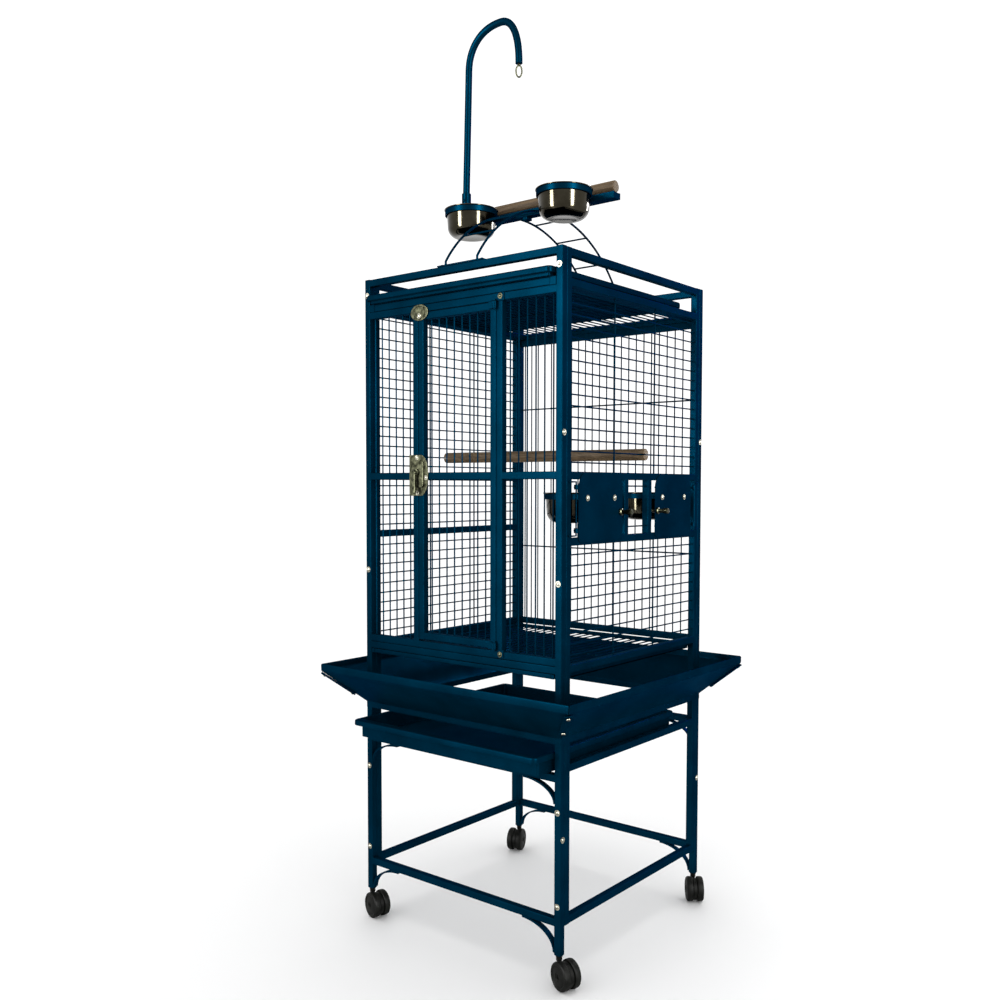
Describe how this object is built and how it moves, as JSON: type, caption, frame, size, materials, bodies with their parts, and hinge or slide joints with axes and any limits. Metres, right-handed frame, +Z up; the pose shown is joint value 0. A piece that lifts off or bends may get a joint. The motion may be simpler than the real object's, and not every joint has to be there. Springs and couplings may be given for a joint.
{
  "type": "bird cage on stand",
  "caption": "Square wire bird cage on a castered tube stand, with a swing door, swing-out feeders, seed guards, trays and a play top.",
  "frame": {"origin": "on the floor under the middle of the square cage", "axes": "+Z up, -Y towards the main door, +X towards the feeder doors"},
  "size_m": [0.588, 0.588, 1.7155],
  "materials": {
    "powder_coat": "satin dark blue powder coat",
    "stainless": "polished stainless steel",
    "zinc": "zinc plated steel",
    "wood": "bare hardwood dowel",
    "black_plastic": "black moulded nylon"
  },
  "bodies": {
    "cage": {"back_frame": "powder_coat", "brace_back_left_lower": "powder_coat", "brace_back_left_upper": "powder_coat", "brace_back_right_lower": "powder_coat", "brace_back_right_upper": "powder_coat", "brace_front_left_lower": "powder_coat", "brace_front_left_upper": "powder_coat", "brace_front_right_lower": "powder_coat", "brace_front_right_upper": "powder_coat", "cage_perch": "wood", "door_hinge_lower": "zinc", "door_hinge_upper": "zinc", "feeder_hinge_back": "powder_coat", "feeder_hinge_front": "powder_coat", "front_frame": "powder_coat", "guard_back": "powder_coat", "guard_clip_back_left": "powder_coat", "guard_clip_back_right": "powder_coat", "guard_clip_front_left": "powder_coat", "guard_clip_front_right": "powder_coat", "guard_front": "powder_coat", "guard_left": "powder_coat", "guard_right": "powder_coat", "hook_socket": "powder_coat", "left_frame": "powder_coat", "perch_bar": "powder_coat", "play_ladder": "powder_coat", "play_perch": "wood", "right_frame": "powder_coat", "roof_grille": "powder_coat"},
    "main_door": {"main_door": "powder_coat", "door_lock_plate": "zinc"},
    "door_lock_lever": {"door_lock_lever": "zinc"},
    "door_top_button": {"door_top_button": "zinc"},
    "floor_grate": {"floor_grate": "powder_coat"},
    "waste_tray": {"waste_tray": "powder_coat"},
    "roof_tray": {"roof_tray": "powder_coat"},
    "toy_hook": {"toy_hook": "powder_coat"},
    "hook_eye": {"hook_eye": "zinc"},
    "play_bowl_left": {"play_bowl_left": "stainless"},
    "play_bowl_right": {"play_bowl_right": "stainless"},
    "feeder_door_front": {"feeder_door_front": "powder_coat"},
    "feeder_latch_front": {"feeder_latch_front": "zinc"},
    "feeder_bowl_front": {"feeder_bowl_front": "stainless"},
    "feeder_door_back": {"feeder_door_back": "powder_coat"},
    "feeder_latch_back": {"feeder_latch_back": "zinc"},
    "feeder_bowl_back": {"feeder_bowl_back": "stainless"},
    "caster_fork_front_left": {"caster_fork_front_left": "black_plastic"},
    "caster_wheel_front_left_a": {"caster_wheel_front_left_a": "black_plastic"},
    "caster_wheel_front_left_b": {"caster_wheel_front_left_b": "black_plastic"},
    "caster_fork_front_right": {"caster_fork_front_right": "black_plastic"},
    "caster_wheel_front_right_a": {"caster_wheel_front_right_a": "black_plastic"},
    "caster_wheel_front_right_b": {"caster_wheel_front_right_b": "black_plastic"},
    "caster_fork_back_left": {"caster_fork_back_left": "black_plastic"},
    "caster_wheel_back_left_a": {"caster_wheel_back_left_a": "black_plastic"},
    "caster_wheel_back_left_b": {"caster_wheel_back_left_b": "black_plastic"},
    "caster_fork_back_right": {"caster_fork_back_right": "black_plastic"},
    "caster_wheel_back_right_a": {"caster_wheel_back_right_a": "black_plastic"},
    "caster_wheel_back_right_b": {"caster_wheel_back_right_b": "black_plastic"}
  },
  "joints": [
    {"name": "door_swing", "type": "hinge", "parent": "cage", "child": "main_door", "pos_m": [0.09105, -0.2327, 0.8], "axis": [0, 0, 1], "range_deg": [0, 165]},
    {"name": "lock_turn", "type": "hinge", "parent": "main_door", "child": "door_lock_lever", "pos_m": [-0.0905, -0.2339, 0.8375], "axis": [0, 1, 0], "range_deg": [-40, 90]},
    {"name": "button_turn", "type": "hinge", "parent": "main_door", "child": "door_top_button", "pos_m": [-0.0856, -0.2288, 1.11415], "axis": [0, 1, 0], "range_deg": [-90, 90]},
    {"name": "feeder_swing_front", "type": "hinge", "parent": "cage", "child": "feeder_door_front", "pos_m": [0.2315, -0.1933, 0.78], "axis": [0, 0, -1], "range_deg": [0, 110]},
    {"name": "feeder_latch_turn_front", "type": "hinge", "parent": "feeder_door_front", "child": "feeder_latch_front", "pos_m": [0.2303, -0.0605, 0.77], "axis": [1, 0, 0], "range_deg": [0, 90]},
    {"name": "feeder_bowl_lift_front", "type": "slide", "parent": "feeder_door_front", "child": "feeder_bowl_front", "axis": [0, 0, 1], "range_m": [0, 0.018]},
    {"name": "feeder_swing_back", "type": "hinge", "parent": "cage", "child": "feeder_door_back", "pos_m": [0.2315, 0.1933, 0.78], "axis": [0, 0, 1], "range_deg": [0, 110]},
    {"name": "feeder_latch_turn_back", "type": "hinge", "parent": "feeder_door_back", "child": "feeder_latch_back", "pos_m": [0.2303, 0.0605, 0.77], "axis": [-1, 0, 0], "range_deg": [0, 90]},
    {"name": "feeder_bowl_lift_back", "type": "slide", "parent": "feeder_door_back", "child": "feeder_bowl_back", "axis": [0, 0, 1], "range_m": [0, 0.018]},
    {"name": "play_bowl_lift_left", "type": "slide", "parent": "cage", "child": "play_bowl_left", "axis": [0, 0, 1], "range_m": [0, 0.08]},
    {"name": "play_bowl_lift_right", "type": "slide", "parent": "cage", "child": "play_bowl_right", "axis": [0, 0, 1], "range_m": [0, 0.08]},
    {"name": "grate_slide", "type": "slide", "parent": "cage", "child": "floor_grate", "axis": [0, -1, 0], "range_m": [0, 0.4]},
    {"name": "waste_tray_slide", "type": "slide", "parent": "cage", "child": "waste_tray", "axis": [0, -1, 0], "range_m": [-0.052, 0.33]},
    {"name": "roof_tray_slide", "type": "slide", "parent": "cage", "child": "roof_tray", "axis": [0, -1, 0], "range_m": [-0.042, 0.36]},
    {"name": "hook_swivel", "type": "hinge", "parent": "cage", "child": "toy_hook", "pos_m": [-0.181, 0, 1.36], "axis": [0, 0, 1], "continuous": true},
    {"name": "eye_swivel", "type": "hinge", "parent": "toy_hook", "child": "hook_eye", "pos_m": [-0.0465, 0, 1.6185], "axis": [0, 0, 1], "continuous": true},
    {"name": "caster_swivel_front_left", "type": "hinge", "parent": "cage", "child": "caster_fork_front_left", "pos_m": [-0.22215, -0.22215, 0.048], "axis": [0, 0, 1], "continuous": true},
    {"name": "caster_spin_front_left_a", "type": "hinge", "parent": "caster_fork_front_left", "child": "caster_wheel_front_left_a", "pos_m": [-0.20283, -0.22733, 0.0235], "axis": [0.2588, 0.9659, 0], "continuous": true},
    {"name": "caster_spin_front_left_b", "type": "hinge", "parent": "caster_fork_front_left", "child": "caster_wheel_front_left_b", "pos_m": [-0.20283, -0.22733, 0.0235], "axis": [0.2588, 0.9659, 0], "continuous": true},
    {"name": "caster_swivel_front_right", "type": "hinge", "parent": "cage", "child": "caster_fork_front_right", "pos_m": [0.22215, -0.22215, 0.048], "axis": [0, 0, 1], "continuous": true},
    {"name": "caster_spin_front_right_a", "type": "hinge", "parent": "caster_fork_front_right", "child": "caster_wheel_front_right_a", "pos_m": [0.24094, -0.22899, 0.0235], "axis": [0.342, 0.9397, 0], "continuous": true},
    {"name": "caster_spin_front_right_b", "type": "hinge", "parent": "caster_fork_front_right", "child": "caster_wheel_front_right_b", "pos_m": [0.24094, -0.22899, 0.0235], "axis": [0.342, 0.9397, 0], "continuous": true},
    {"name": "caster_swivel_back_left", "type": "hinge", "parent": "cage", "child": "caster_fork_back_left", "pos_m": [-0.22215, 0.22215, 0.048], "axis": [0, 0, 1], "continuous": true},
    {"name": "caster_spin_back_left_a", "type": "hinge", "parent": "caster_fork_back_left", "child": "caster_wheel_back_left_a", "pos_m": [-0.21498, 0.20348, 0.0235], "axis": [0.9336, 0.3584, 0], "continuous": true},
    {"name": "caster_spin_back_left_b", "type": "hinge", "parent": "caster_fork_back_left", "child": "caster_wheel_back_left_b", "pos_m": [-0.21498, 0.20348, 0.0235], "axis": [0.9336, 0.3584, 0], "continuous": true},
    {"name": "caster_swivel_back_right", "type": "hinge", "parent": "cage", "child": "caster_fork_back_right", "pos_m": [0.22215, 0.22215, 0.048], "axis": [0, 0, 1], "continuous": true},
    {"name": "caster_spin_back_right_a", "type": "hinge", "parent": "caster_fork_back_right", "child": "caster_wheel_back_right_a", "pos_m": [0.23446, 0.20639, 0.0235], "axis": [0.788, 0.6157, 0], "continuous": true},
    {"name": "caster_spin_back_right_b", "type": "hinge", "parent": "caster_fork_back_right", "child": "caster_wheel_back_right_b", "pos_m": [0.23446, 0.20639, 0.0235], "axis": [0.788, 0.6157, 0], "continuous": true}
  ]
}
